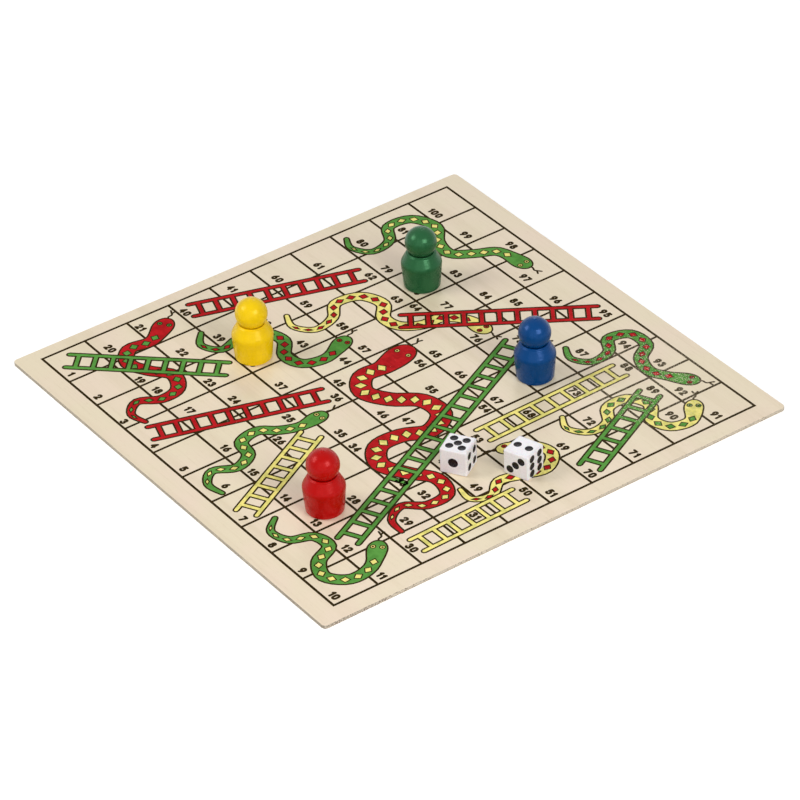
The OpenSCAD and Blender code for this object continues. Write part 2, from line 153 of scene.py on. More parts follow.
class PawnSettings(bpy.types.PropertyGroup):
    """Turned profile and paints of the pawns. Height and widest diameter come from the frame."""
    head_d: length("Head", "Diameter of the head", 14)
    neck_drop: share("Neck drop", "How far below its middle the head meets the neck", 0.8)
    collar_d: length("Collar", "Diameter at which the shoulders end", 12.6)
    collar_rise: length("Collar rise", "Height of the shoulders' end above the groove", 0.9)
    lip: length("Lip", "Radius of the rounded inner end of the shoulders", 0.7)
    ridge_z: length("Ridge height", "Height of the widest ridge", 11.6)
    ridge_round: length("Ridge rounding", "Radius of the soft edge along the ridge", 4)
    foot_d: length("Foot", "Diameter just above the foot", 16.2)
    foot_round: length("Foot rounding", "Radius of the foot's rounded edge", 1.1)
    nib_d: length("Nib", "Diameter of the nib that the lathe left on the crown", 1.9)
    nib_h: length("Nib height", "Height of the nib", 0.25)
    yellow: colour("Yellow paint", "Paint of the yellow pawn", 242, 202, 12)
    green: colour("Green paint", "Paint of the green pawn", 34, 85, 50)
    red: colour("Red paint", "Paint of the red pawn", 178, 6, 4)
    blue: colour("Blue paint", "Paint of the blue pawn", 0, 60, 116)


class DiceSettings(bpy.types.PropertyGroup):
    """Plastic, pips and turns of the dice."""
    left_turn: angle("Left die's turn", "Turn of the left die about the upright", 31.9)
    right_turn: angle("Right die's turn", "Turn of the right die about the upright", 19.3)
    paint_t: length("Pip paint", "Thickness of the paint in a pip", 0.04)
    plastic: colour("Plastic", "White plastic", 231, 228, 231)
    pip: colour("Pips", "Black paint in the pips", 24, 20, 24)


class StudioSettings(bpy.types.PropertyGroup):
    """Camera and lights."""
    distance: length("Distance", "From the camera to the point that it looks at", 1784.9)
    aim_x: length("Aim X", "Point looked at, across the board", 11.16, -1)
    aim_y: length("Aim Y", "Point looked at, up the board", -5.26, -1)
    aim_z: length("Aim Z", "Point looked at, above the table", 1.8, -1)
    heading: angle("Heading", "Compass direction that the camera looks in, from +X", 145.218)
    elevation: angle("Elevation", "Height of the camera above the table, as an angle", 35.691)
    roll: angle("Roll", "Turn of the camera about its own line of sight", -2.233)
    focal_share: number("Focal length", "Focal length against the picture's width", 5.3249375, 1)
    key_power: number("Right light", "Power of the right light in watts", 6.1)
    fill_power: number("Left light", "Power of the left light in watts", 4.9)
    back_power: number("Back light", "Power of the back light in watts", 0.9)
    front_power: number("Front light", "Power of the wide front light in watts", 3.4)
    sky: number("Sky", "Strength of the even light from all round", 0.27)
    seed: IntProperty(name="Seed", description="Start of the random unevenness", default=7)


class SetSettings(bpy.types.PropertyGroup):
    """All settings of the set."""
    board: PointerProperty(type=BoardSettings)
    ink: PointerProperty(type=PrintSettings)
    pawns: PointerProperty(type=PawnSettings)
    dice: PointerProperty(type=DiceSettings)
    studio: PointerProperty(type=StudioSettings)


def settings():
    """The settings held by the scene."""
    return bpy.context.scene.board_game


# Meshes

def skin(rings):
    """Closed surface through rings of points, given as rows, columns and x, y, z.

    Each pair of rings is joined by quads, and the first and last are closed by one flat face each.
    """
    index = np.arange(rings.shape[0] * rings.shape[1]).reshape(rings.shape[:2])
    after = np.roll(index, -1, axis=1)
    quads = np.stack([index[:-1], after[:-1], after[1:], index[1:]], -1).reshape(-1, 4)
    faces = quads.tolist() + [index[0, ::-1].tolist(), index[-1].tolist()]
    return rings.reshape(-1, 3), faces


def turned(profile, steps):
    """Rings of a profile of radius and height turned about the upright through the origin.

    A point at angle a is (r cos a, r sin a, z).
    """
    a = np.arange(steps) * 2 * np.pi / steps
    r, z = profile[:, :1], profile[:, 1:]
    return np.stack([r * np.cos(a), r * np.sin(a), z + 0 * a], -1)


def joined(parts):
    """One list of points and one of faces from several."""
    points, faces, count = [], [], 0
    for part_points, part_faces in parts:
        points.append(part_points)
        faces += [[i + count for i in face] for face in part_faces]
        count += len(part_points)
    return np.concatenate(points), faces


def placed(name, data):
    """A new object with this data, in the scene."""
    made = bpy.data.objects.new(name, data)
    bpy.context.scene.collection.objects.link(made)
    return made


def piece(name, points, faces, stuff, flat_sides=4):
    """Object with this mesh and material. Faces of more than flat_sides corners are shaded flat."""
    mesh = bpy.data.meshes.new(name)
    mesh.from_pydata(points.tolist(), [], faces)
    sides = np.zeros(len(mesh.polygons), np.int32)
    mesh.polygons.foreach_get("loop_total", sides)
    mesh.polygons.foreach_set("use_smooth", sides <= flat_sides)
    mesh.materials.append(stuff)
    mesh.update()
    return placed(name, mesh)


def paint_node(name, stuff):
    """Gives a node of the frame one material."""
    materials = FRAME["nodes"][name].data.materials
    materials.clear()
    materials.append(stuff)


def node_mesh(name):
    """Vertices of a node of the frame as rows of x, y, z, and triangles as rows of vertices."""
    mesh = FRAME["nodes"][name].data
    mesh.calc_loop_triangles()
    points = np.zeros(len(mesh.vertices) * 3, np.float32)
    mesh.vertices.foreach_get("co", points)
    corners = np.zeros(len(mesh.loop_triangles) * 3, np.int32)
    mesh.loop_triangles.foreach_get("vertices", corners)
    return points.reshape(-1, 3).astype(float), corners.reshape(-1, 3)


# Shader nodes

class Graph:
    """Adds nodes to one node tree and joins them."""

    def __init__(self, tree):
        self.tree = tree

    def feed(self, node, inputs):
        """Puts values or links on a node's inputs, each given by its name or number."""
        for key, value in inputs.items():
            if isinstance(value, bpy.types.NodeSocket):
                self.tree.links.new(value, node.inputs[key])
            else:
                node.inputs[key].default_value = value

    def add(self, kind, inputs=None, **options):
        """A new node with its options set, and with values or links on its inputs."""
        made = self.tree.nodes.new(kind)
        for key, value in options.items():
            setattr(made, key, value)
        self.feed(made, inputs or {})
        return made

    def math(self, operation, *values, clamp=False):
        """A Math node's result."""
        inputs = dict(enumerate(values))
        return self.add("ShaderNodeMath", inputs, operation=operation, use_clamp=clamp).outputs[0]

    def stretched(self, vector, scale):
        """The vector with its three parts scaled."""
        return self.add("ShaderNodeMapping", {"Vector": vector, "Scale": scale}).outputs[0]

    def noise(self, vector, scale, detail=2.0, roughness=0.5):
        """Noise between 0 and 1, about 1 / scale metres from one lump to the next."""
        values = {"Vector": vector, "Scale": scale, "Detail": detail, "Roughness": roughness}
        return self.add("ShaderNodeTexNoise", values).outputs["Fac"]

    def step(self, value, low, high, low_to=0.0, high_to=1.0):
        """The value carried smoothly from low..high to low_to..high_to, and held beyond."""
        inputs = {"Value": value, "From Min": low, "From Max": high, "To Min": low_to,
                  "To Max": high_to}
        made = self.add("ShaderNodeMapRange", inputs, interpolation_type="SMOOTHSTEP")
        return made.outputs["Result"]

    def near(self, place, spot, full, none):
        """1 within the distance full of a spot, falling smoothly to 0 at the distance none."""
        off = self.add("ShaderNodeVectorMath", {0: place, 1: spot}, operation="DISTANCE")
        return self.step(off.outputs["Value"], full, none, 1.0, 0.0)

    def mix(self, factor, first, second, blend="MIX"):
        """Two colours mixed or blended by a factor."""
        inputs = {0: factor, 6: first, 7: second}
        made = self.add("ShaderNodeMix", inputs, data_type="RGBA", blend_type=blend)
        return made.outputs[2]

    def times(self, first, second):
        """Two colours multiplied."""
        return self.mix(1.0, first, second, "MULTIPLY")

    def mix_values(self, factor, first, second):
        """Two numbers mixed by a factor."""
        inputs = {0: factor, 2: first, 3: second}
        return self.add("ShaderNodeMix", inputs, data_type="FLOAT").outputs[0]


def opaque(rgb):
    """Colour with full alpha."""
    return (*rgb, 1.0)


def effect(name, inputs, outputs):
    """A new shader node group with named sockets: its graph, what it is given, its output node."""
    tree = bpy.data.node_groups.new(name, "ShaderNodeTree")
    kinds = {"value": "NodeSocketFloat", "colour": "NodeSocketColor", "vector": "NodeSocketVector"}
    for way, sockets in (("INPUT", inputs), ("OUTPUT", outputs)):
        for label, kind in sockets:
            tree.interface.new_socket(name=label, in_out=way, socket_type=kinds[kind])
    graph = Graph(tree)
    return graph, graph.add("NodeGroupInput").outputs, graph.add("NodeGroupOutput")


def use_effect(graph, name, inputs):
    """The outputs of a shader node group placed in a material."""
    return graph.add("ShaderNodeGroup", inputs, node_tree=bpy.data.node_groups[name]).outputs


def veneer_effect():
    """Veneer: fibres about 1 mm wide and 40 mm long, short pores, and pinkish patches."""
    graph, given, out = effect(
        "Veneer",
        [("Vector", "vector"), ("Wood", "colour"), ("Warm", "colour"), ("Fibre", "colour")],
        [("Color", "colour"), ("Height", "value")])
    along = graph.stretched(given["Vector"], (0.03, 1.0, 1.0))
    fibres = graph.noise(along, 900, detail=6, roughness=0.6)
    bands = graph.noise(along, 130, detail=3)
    patches = graph.noise(given["Vector"], 32)
    short = graph.stretched(given["Vector"], (0.12, 1.0, 1.0))
    pores = graph.step(graph.noise(short, 2600), 0.64, 0.74)
    warm = graph.mix(graph.step(patches, 0.35, 0.7), given["Wood"], given["Warm"])
    banded = graph.mix(graph.step(bands, 0.45, 0.8, 0, 0.5), warm, given["Fibre"])
    fibred = graph.mix(graph.step(fibres, 0.5, 0.85, 0, 0.45), banded, given["Fibre"])
    dark = graph.times(fibred, (0.8, 0.74, 0.66, 1))
    graph.feed(out, {
        "Color": graph.mix(graph.math("MULTIPLY", pores, 0.35), fibred, dark),
        "Height": graph.math("SUBTRACT", fibres, graph.math("MULTIPLY", pores, 0.6))})


def cut_edge_effect():
    """Sawn plywood edge: speckled where the saw cut across the fibres, streaked along them, and
    there darker as painted shade.
    """
    graph, given, out = effect(
        "Cut edge",
        [("Vector", "vector"), ("Normal", "vector"), ("Across", "colour"), ("Along", "colour"),
         ("Dark", "colour"), ("Rough", "value")],
        [("Color", "colour"), ("Height", "value")])
    parts = graph.add("ShaderNodeSeparateXYZ", {0: given["Normal"]}).outputs
    across = graph.step(graph.math("ABSOLUTE", parts[0]), 0.3, 0.8)
    spots = graph.noise(given["Vector"], 1500, detail=3, roughness=0.6)
    lumps = graph.noise(given["Vector"], 150, detail=3, roughness=0.55)
    along = graph.stretched(given["Vector"], (0.05, 1.0, 1.6))
    streaks = graph.noise(along, 1500, detail=4, roughness=0.6)
    fine = graph.mix_values(across, streaks, spots)
    many = graph.math("MULTIPLY_ADD", given["Rough"], 0.12, graph.math("MULTIPLY", lumps, 0.2))
    dark = graph.step(graph.math("ADD", fine, many), 0.64, 0.78)
    # Painted shade: the near and far edges take the darker along-fibre colour.
    ground = graph.mix(across, given["Along"], given["Across"])
    pale = graph.times(ground, (1.12, 1.12, 1.1, 1))
    toned = graph.mix(graph.step(lumps, 0.35, 0.65), ground, pale)
    darkened = graph.math("MULTIPLY", dark, graph.step(across, 0, 1, 0.3, 0.8))
    graph.feed(out, {"Color": graph.mix(darkened, toned, given["Dark"]),
                     "Height": graph.math("SUBTRACT", lumps, dark)})


def ink_effect():
    """Screen-printed ink: mottled and streaked, with pinholes down to the wood where it is worn."""
    graph, given, out = effect(
        "Ink film",
        [("Vector", "vector"), ("Ink", "colour"), ("Wood", "colour"), ("Pinholes", "value"),
         ("Wear", "value"), ("Thin", "value")],
        [("Color", "colour"), ("Roughness", "value"), ("Height", "value")])
    mottle = graph.noise(given["Vector"], 260, detail=4, roughness=0.6)
    along = graph.stretched(given["Vector"], (0.05, 1.0, 1.0))
    grain = graph.noise(along, 1000, detail=4, roughness=0.6)
    specks = graph.noise(given["Vector"], 1800, roughness=0.6)
    limit = graph.math("SUBTRACT", 0.74, graph.math("MULTIPLY", given["Wear"], 0.19))
    over = graph.math("SUBTRACT", specks, limit)
    holes = graph.math("MULTIPLY", graph.step(over, 0, 0.07), given["Pinholes"])
    deep = graph.times(given["Ink"], (0.52, 0.6, 0.52, 1))
    shaded = graph.mix(graph.step(mottle, 0.38, 0.68, 0, 0.6), given["Ink"], deep)
    grained = graph.mix(graph.step(grain, 0.5, 0.8, 0, 0.45), shaded, deep)
    thin = graph.mix(graph.math("MULTIPLY", given["Wear"], given["Thin"]), grained, given["Wood"])
    graph.feed(out, {
        "Color": graph.mix(holes, thin, given["Wood"]),
        "Roughness": graph.step(mottle, 0.3, 0.7, 0.42, 0.56),
        "Height": graph.math("SUBTRACT", graph.math("MULTIPLY", mottle, 0.5), holes)})


def paint_effect():
    """Gloss paint on turned wood: rings left by the lathe, soft ripples, dust and thin spots."""
    graph, given, out = effect(
        "Turned paint",
        [("Vector", "vector"), ("Paint", "colour")],
        [("Color", "colour"), ("Roughness", "value"), ("Height", "value")])
    layered = graph.stretched(given["Vector"], (0.04, 0.04, 1.0))
    rings = graph.noise(layered, 1500, detail=3, roughness=0.6)
    ripple = graph.noise(given["Vector"], 330)
    peel = graph.noise(given["Vector"], 1100)
    dust = graph.step(graph.noise(given["Vector"], 2300, detail=1), 0.74, 0.8)
    deep = graph.times(given["Paint"], (0.86, 0.84, 0.84, 1))
    toned = graph.mix(graph.step(ripple, 0.35, 0.7, 0, 0.5), given["Paint"], deep)
    rough = graph.step(ripple, 0.3, 0.7, 0.2, 0.31)
    height = graph.math("MULTIPLY", rings, 0.5)
    for layer, part in ((ripple, 2.2), (peel, 0.6), (dust, 0.5)):
        height = graph.math("MULTIPLY_ADD", layer, part, height)
    graph.feed(out, {"Color": graph.mix(graph.step(rings, 0.45, 0.75, 0, 0.3), toned, deep),
                     "Roughness": graph.math("MULTIPLY_ADD", dust, 0.2, rough),
                     "Height": height})


def material(name):
    """A new material, its graph, its Object coordinates and its Principled shader."""
    made = bpy.data.materials.new(name)
    made.use_nodes = True
    made.node_tree.nodes.clear()
    graph = Graph(made.node_tree)
    place = graph.add("ShaderNodeTexCoord").outputs["Object"]
    shader = graph.add("ShaderNodeBsdfPrincipled")
    graph.add("ShaderNodeOutputMaterial", {"Surface": shader.outputs[0]})
    return made, graph, place, shader


def surface(graph, shader, base, roughness, height, depth):
    """Feeds the shader a colour, a roughness, and a bump from a height that goes this deep."""
    bump = graph.add("ShaderNodeBump", {"Height": height, "Distance": depth})
    graph.feed(shader, {"Base Color": base, "Roughness": roughness,
                        "Normal": bump.outputs["Normal"]})


def cut_edge(graph, place, board):
    """Normal and cut edge in a material. It is roughest near the board's near right corner."""
    facing = graph.add("ShaderNodeTexCoord").outputs["Normal"]
    return facing, use_effect(graph, "Cut edge", {
        "Vector": place, "Normal": facing, "Across": opaque(board.cut),
        "Along": opaque(board.cut_long), "Dark": opaque(board.cut_dark),
        "Rough": graph.near(place, NEAR_CORNER, 5 * MM, 60 * MM)})


def veneer_material(board):
    """Clear-coated pale veneer, with a sawn edge on its sides."""
    made, graph, place, shader = material("veneer")
    veneer = use_effect(graph, "Veneer", {
        "Vector": place, "Wood": opaque(board.wood), "Warm": opaque(board.wood_warm),
        "Fibre": opaque(board.wood_dark)})
    facing, edge = cut_edge(graph, place, board)
    parts = graph.add("ShaderNodeSeparateXYZ", {0: facing}).outputs
    side = graph.step(graph.math("ABSOLUTE", parts[2]), 0.9, 0.6)
    height = graph.mix_values(side, veneer["Height"], edge["Height"])
    surface(graph, shader, graph.mix(side, veneer["Color"], edge["Color"]),
            graph.step(side, 0, 1, 0.46, 0.75), height, 0.03 * MM)
    return made


def core_material(board):
    """Bare cut edge of the core ply."""
    made, graph, place, shader = material("core_ply")
    edge = cut_edge(graph, place, board)[1]
    surface(graph, shader, edge["Color"], 0.8, edge["Height"], 0.05 * MM)
    return made


def ink_material(name, ink, wood, pinholes, thin):
    """One printed ink. It is worn round one place near the far right corner of the board."""
    made, graph, place, shader = material(name)
    film = use_effect(graph, "Ink film", {
        "Vector": place, "Ink": opaque(ink), "Wood": opaque(wood), "Pinholes": pinholes,
        "Wear": graph.near(place, WORN_PLACE, 15 * MM, 60 * MM), "Thin": thin})
    surface(graph, shader, film["Color"], film["Roughness"], film["Height"], 0.02 * MM)
    graph.feed(shader, {"Specular IOR Level": 0.02})
    return made


def paint_material(name, paint, middle):
    """Gloss paint of a pawn that stands at middle. Its own colour tints the gloss a little."""
    made, graph, place, shader = material(name)
    centred = graph.add("ShaderNodeMapping", {"Vector": place, "Location": tuple(-middle)})
    coat = use_effect(graph, "Turned paint", {"Vector": centred.outputs[0],
                                              "Paint": opaque(paint)})
    surface(graph, shader, coat["Color"], coat["Roughness"], coat["Height"], 0.04 * MM)
    tint = [0.25 + 0.75 * value / max(paint) for value in paint]
    graph.feed(shader, {"Specular IOR Level": 0.43, "Specular Tint": opaque(tint)})
    return made


def dice_material(dice):
    """White plastic with a soft glow under its surface and faint scuffs."""
    made, graph, place, shader = material("dice_plastic")
    clouds = graph.noise(place, 180, detail=3)
    drawn = graph.stretched(place, (1.0, 0.25, 0.6))
    scuffs = graph.noise(drawn, 2400, detail=3, roughness=0.6)
    dull = graph.times(opaque(dice.plastic), (0.95, 0.94, 0.94, 1))
    toned = graph.mix(graph.step(clouds, 0.35, 0.7, 0, 0.6), opaque(dice.plastic), dull)
    surface(graph, shader, toned, graph.step(scuffs, 0.35, 0.75, 0.24, 0.4), scuffs, 0.004 * MM)
    graph.feed(shader, {"Subsurface Weight": 0.12, "Subsurface Scale": 0.8 * MM})
    return made


def pip_material(dice):
    """Black paint brushed into the pips."""
    made, graph, place, shader = material("pip_paint")
    brush = graph.noise(place, 1500, detail=3, roughness=0.6)
    grey = graph.times(opaque(dice.pip), (2.2, 2.2, 2.3, 1))
    toned = graph.mix(graph.step(brush, 0.45, 0.75, 0, 0.7), opaque(dice.pip), grey)
    surface(graph, shader, toned, graph.step(brush, 0.3, 0.7, 0.16, 0.42), brush, 0.06 * MM)
    graph.feed(shader, {"Specular IOR Level": 0.25})
    return made


# Board

FACE_LOW, FACE_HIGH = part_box("board_face_ply")
WORN_PLACE = (FACE_HIGH.x * 0.56, FACE_HIGH.y * 0.72, FACE_HIGH.z)
NEAR_CORNER = (FACE_HIGH.x, FACE_LOW.y, FACE_HIGH.z)
# Steps along the edge of the board, round a corner of it and over a rounded edge
EDGE_STEP = 1.1 * MM
CORNER_STEPS = 8
ROUND_STEPS = 4


def rounded_outline(half_w, half_d, corner, spacing):
    """Points and outward directions round a rectangle with round corners, anticlockwise.

    Each corner is a quarter circle, and the straights between them are cut into even steps.
    """
    points, outward = [], []
    for index, (sx, sy) in enumerate(((1, -1), (1, 1), (-1, 1), (-1, -1))):
        turn = np.radians(np.linspace(-90, 0, CORNER_STEPS + 1) + 90 * index)
        way = np.stack([np.cos(turn), np.sin(turn)], -1)
        middle = np.array([sx * (half_w - corner), sy * (half_d - corner)])
        points.append(middle + corner * way)
        outward.append(way)
        straight = 2 * ((half_d if index % 2 == 0 else half_w) - corner)
        steps = np.arange(1, int(straight / spacing))[:, None] * spacing
        ahead = np.array([-way[-1][1], way[-1][0]])
        points.append(points[-1][-1] + steps * ahead)
        outward.append(np.repeat(way[-1:], len(steps), 0))
    return np.concatenate(points), np.concatenate(outward)


def unevenness(count, height, rng):
    """Smooth random unevenness round a closed outline: noise averaged over five neighbours."""
    raw = rng.uniform(-1, 1, count)
    return height * sum(np.roll(raw, k) for k in (-2, -1, 0, 1, 2)) / 5


def ply_mesh(node, recess, round_low, round_high, rng):
    """A ply: its outline carried up an edge that is rounded below, above or not at all.

    A ring at height z is the outline drawn in by the recess plus the rounding's quarter circle,
    with the saw's unevenness added along the outward direction.
    """
    board = settings().board
    low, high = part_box(node)
    points, outward = rounded_outline(high.x, high.y, board.corner, EDGE_STEP)
    ragged = unevenness(len(points), board.ragged, rng) - board.ragged
    turn = np.radians(np.linspace(0, 90, ROUND_STEPS + 1))
    lower = [(round_low * (1 - math.sin(a)), low.z + round_low * (1 - math.cos(a))) for a in turn]
    upper = [(round_high * (1 - math.cos(a)), high.z - round_high * (1 - math.sin(a)))
             for a in turn]
    if not round_low:
        lower = [(0, low.z)]
    if not round_high:
        upper = [(0, high.z)]
    rings = []
    for inset, z in lower + upper:
        push = ragged - recess - inset
        flat = points + outward * push[:, None]
        rings.append(np.column_stack([flat, np.full(len(flat), z)]))
    return skin(np.array(rings))


class BOARDGAME_OT_plies(bpy.types.Operator):
    """Makes the three plies of the board, with a sawn and sanded edge."""
    bl_idname = "boardgame.plies"
    bl_label = "Board plies"

    def execute(self, context):
        board = settings().board
        rng = np.random.default_rng(settings().studio.seed)
        veneer = veneer_material(board)
        core = core_material(board)
        edge = board.edge_round
        for node, stuff, slot, recess, low, high in (
                ("board_back_ply", veneer, "face_ply", 0.0, edge, 0.0),
                ("board_core_ply", core, "core_ply", board.core_recess, 0.0, 0.0),
                ("board_face_ply", veneer, "face_ply", 0.0, 0.0, edge)):
            points, faces = ply_mesh(node, recess, low, high, rng)
            made = piece(node.replace("board", "plywood"), points, faces, stuff)
            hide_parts(node)
            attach(made, BOARD_BODY)
        return {"FINISHED"}


class BOARDGAME_OT_films(bpy.types.Operator):
    """Gives the printed films their inks."""
    bl_idname = "boardgame.films"
    bl_label = "Printed films"

    def execute(self, context):
        ink, wood = settings().ink, settings().board.wood
        films = {}
        for name in INKS:
            worn = (ink.black_pinholes, ink.black_thin) if name == "black" else (ink.pinholes, 0)
            films[f"{name}_ink"] = ink_material(f"{name}_ink", getattr(ink, name), wood, *worn)
        for part in FRAME["record"]["subparts"]:
            if part["material_slot"] in films:
                paint_node(part["node"], films[part["material_slot"]])
        return {"FINISHED"}


# Numbers

def bend(x, y, rx, ry, start, end, steps=16):
    """Points along an ellipse round x, y from one angle in degrees to another."""
    a = np.radians(np.linspace(start, end, steps + 1))
    return np.stack([x + rx * np.cos(a), y + ry * np.sin(a)], -1)


def path(*places):
    """Points of a bent line through places, or through runs of places."""
    return np.concatenate([np.atleast_2d(np.array(p, float)) for p in places])


# Cosine of the sharpest bend of a stroke that needs no disc
SLIGHT_BEND = 0.94
# Places tried along each side of a square for its number
PLACE_STEPS = 29
# Most room between the points that stand for the printed art
ART_STEP = 0.8 * MM
# Points of a flat union nearer than this are one, in the union's own unit, the millimetre
SAME_POINT = 1e-5
# Twice the area, in square millimetres, under which a triangle counts as none
NO_AREA = 1e-12
# Middles of each digit's strokes, with the digit's height as 1
DIGIT_STROKES = {
    0: [path(bend(0.28, 0.72, 0.28, 0.28, 0, 180, 12), bend(0.28, 0.28, 0.28, 0.28, 180, 360, 12),
             (0.56, 0.72))],
    1: [path((0.08, 0.76), (0.30, 1), (0.30, 0))],
    2: [path(bend(0.28, 0.72, 0.27, 0.28, 168, -38), (0, 0), (0.56, 0))],
    3: [bend(0.26, 0.76, 0.24, 0.24, 155, -75), bend(0.26, 0.27, 0.29, 0.27, 80, -155)],
    4: [path((0.42, 0), (0.42, 1), (0, 0.28), (0.56, 0.28))],
    5: [path((0.52, 1), (0.12, 1), (0.06, 0.56), bend(0.26, 0.33, 0.29, 0.33, 118, -150))],
    6: [bend(0.28, 0.31, 0.27, 0.31, 0, 360, 24), path((0.04, 0.42), (0.14, 0.66), (0.40, 1))],
    7: [path((0, 1), (0.56, 1), (0.18, 0))],
    8: [bend(0.28, 0.77, 0.22, 0.23, 0, 360, 24), bend(0.28, 0.27, 0.28, 0.27, 0, 360, 24)],
    9: [bend(0.28, 0.69, 0.27, 0.31, 0, 360, 24), path((0.52, 0.58), (0.42, 0.34), (0.16, 0))],
}


def stroke_polygons(line, width):
    """Flat polygons that cover a stroke: a bar along each step of its line, and a disc at each
    end and sharp bend.

    At a slight bend both bars end on the line that halves it: with the steps' unit normals m and
    n, that is half the width times (m + n) / (1 + m . n) to either side.
    """
    ahead = np.diff(line, axis=0)
    ahead = ahead / np.linalg.norm(ahead, axis=1)[:, None]
    side = np.stack([-ahead[:, 1], ahead[:, 0]], -1)
    after = np.roll(side, -1, axis=0)
    cosine = (side * after).sum(1)
    slight = cosine > SLIGHT_BEND
    slight[-1] &= np.allclose(line[0], line[-1])
    halved = (side + after) / (1 + cosine)[:, None]
    ends = np.where(slight[:, None], halved, side) * width / 2
    starts = np.where(slight[:, None], halved, after) * width / 2
    starts = np.roll(starts, 1, axis=0)
    a, b = line[:-1], line[1:]
    bars = np.stack([a - starts, b - ends, b + ends, a + starts], 1)
    joints = b[~slight]
    if not slight[-1]:
        joints = np.concatenate([line[:1], joints])
    disc = bend(0, 0, width / 2, width / 2, 0, 360, 12)[:-1]
    return list(bars) + [joint + disc for joint in joints]


def flat_union(polygons):
    """The area that flat polygons cover together, as points and anticlockwise triangles."""
    points = [Vector(p) for polygon in polygons for p in polygon.tolist()]
    faces, count = [], 0
    for polygon in polygons:
        faces.append(list(range(count, count + len(polygon))))
        count += len(polygon)
    found = geometry.delaunay_2d_cdt(points, [], faces, 1, SAME_POINT, True)
    flat = np.array([tuple(p) for p in found[0]])
    triangles = np.array([face for face, covers in zip(found[2], found[5]) if covers])
    a, b, c = (flat[triangles[:, k]] for k in range(3))
    turn = (b - a)[:, 0] * (c - a)[:, 1] - (b - a)[:, 1] * (c - a)[:, 0]
    triangles[turn < 0] = triangles[turn < 0][:, ::-1]
    return flat, triangles[np.abs(turn) > NO_AREA]


def film(flat, triangles, low, high):
    """A closed film between two heights over flat triangles.

    An edge that only one triangle has is part of the outline, and gets a wall.
    """
    count = len(flat)
    edges = np.concatenate([triangles[:, [0, 1]], triangles[:, [1, 2]], triangles[:, [2, 0]]])
    code = edges[:, 0] * count + edges[:, 1]
    rim = edges[~np.isin(code, edges[:, 1] * count + edges[:, 0])]
    walls = np.column_stack([rim[:, 0], rim[:, 1], rim[:, 1] + count, rim[:, 0] + count])
    points = np.concatenate([np.column_stack([flat, np.full(count, z)]) for z in (low, high)])
    faces = triangles[:, ::-1].tolist() + (triangles + count).tolist() + walls.tolist()
    return points, faces


def printed_points(spacing):
    """Points along every edge of the art's films, no further apart than spacing."""
    found = []
    for part in FRAME["record"]["subparts"]:
        node = part["node"]
        if not node.startswith("print_") or node == GRID_NODE:
            continue
        points, triangles = node_mesh(node)
        a = points[triangles, :2].reshape(-1, 2)
        b = points[np.roll(triangles, 1, axis=1), :2].reshape(-1, 2)
        steps = np.ceil(np.linalg.norm(b - a, axis=1) / spacing).astype(int) + 1
        line = np.repeat(np.arange(len(a)), steps)
        first = np.repeat(np.cumsum(steps) - steps, steps)
        along = (np.arange(len(line)) - first) / np.maximum(steps[line] - 1, 1)
        found.append(a[line] + (b - a)[line] * along[:, None])
    return np.unique(np.round(np.concatenate(found), 4), axis=0)


def square_corner(value):
    """Column and row of a square: the first row runs left to right, the next one back."""
    row, step = divmod(value - 1, SQUARES)
    return (step if row % 2 == 0 else SQUARES - 1 - step), row


def free_place(best, low, high, size, taken, gap):
    """Lower left corner of a box of this size that keeps a gap to every taken point.

    It is the one nearest to best, of best itself and a grid of places between low and high, or
    the freest one where none keeps the gap. A box's clearance is the distance from it to the
    nearest point.
    """
    across, up = (np.linspace(low[k], high[k], PLACE_STEPS) for k in (0, 1))
    places = np.stack(np.meshgrid(across, up), -1).reshape(-1, 2)
    places = np.concatenate([[best], places])
    reach = (high - low + size) / 2 + gap
    near = taken[(np.abs(taken - (low + high + size) / 2) < reach).all(1)]
    if not len(near):
        return best
    off = np.maximum(places[:, None] - near, near - places[:, None] - size)
    free = np.linalg.norm(np.maximum(off, 0), axis=2).min(1)
    if free.max() < gap:
        return places[free.argmax()]
    far = np.where(free < gap, np.inf, np.linalg.norm(places - best, axis=1))
    return places[far.argmin()]


def digit_shapes(ink, low, high):
    """Film and width of each digit, with its lower left corner at the origin.

    The strokes are joined in millimetres, because the union merges points by a set distance.
    """
    reach = ink.digit_h - ink.stroke
    shapes, widths = {}, {}
    for digit, lines in DIGIT_STROKES.items():
        left = min(line[:, 0].min() for line in lines)
        strokes = [(line - (left, 0)) * reach + ink.stroke / 2 for line in lines]
        widths[digit] = max(line[:, 0].max() for line in strokes) + ink.stroke / 2
        polygons = [p for line in strokes for p in stroke_polygons(line / MM, ink.stroke / MM)]
        flat, triangles = flat_union(polygons)
        shapes[digit] = film(flat * MM, triangles, low, high)
    return shapes, widths


class BOARDGAME_OT_numbers(bpy.types.Operator):
    """Prints the numbers, each as near to the lower right of its square as the art leaves free."""
    bl_idname = "boardgame.numbers"
    bl_label = "Numbers"

    def execute(self, context):
        ink = settings().ink
        low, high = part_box(GRID_NODE)
        side = (high.x - low.x) / SQUARES
        shapes, widths = digit_shapes(ink, low.z, high.z)
        taken = printed_points(ART_STEP)
        parts = []
        for value in range(1, SQUARES * SQUARES + 1):
            digits = [int(c) for c in str(value)]
            starts = np.cumsum([0] + [widths[digit] + ink.digit_gap for digit in digits])
            size = np.array([starts[-1] - ink.digit_gap, ink.digit_h])
            square = np.array([low.x, low.y]) + np.array(square_corner(value)) * side
            best = square + (side - ink.side_inset - size[0], ink.low_inset)
            start = free_place(best, square + ink.least_inset,
                               square + side - ink.least_inset - size, size, taken,
                               ink.art_gap)
            for place, digit in zip(starts, digits):
                points, faces = shapes[digit]
                parts.append((points + (start[0] + place, start[1], 0), faces))
        points, faces = joined(parts)
        black = FRAME["nodes"][GRID_NODE].data.materials[0]
        made = piece("printed_numbers", points, faces, black, 0)
        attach(made, BOARD_BODY)
        return {"FINISHED"}


# Pawns

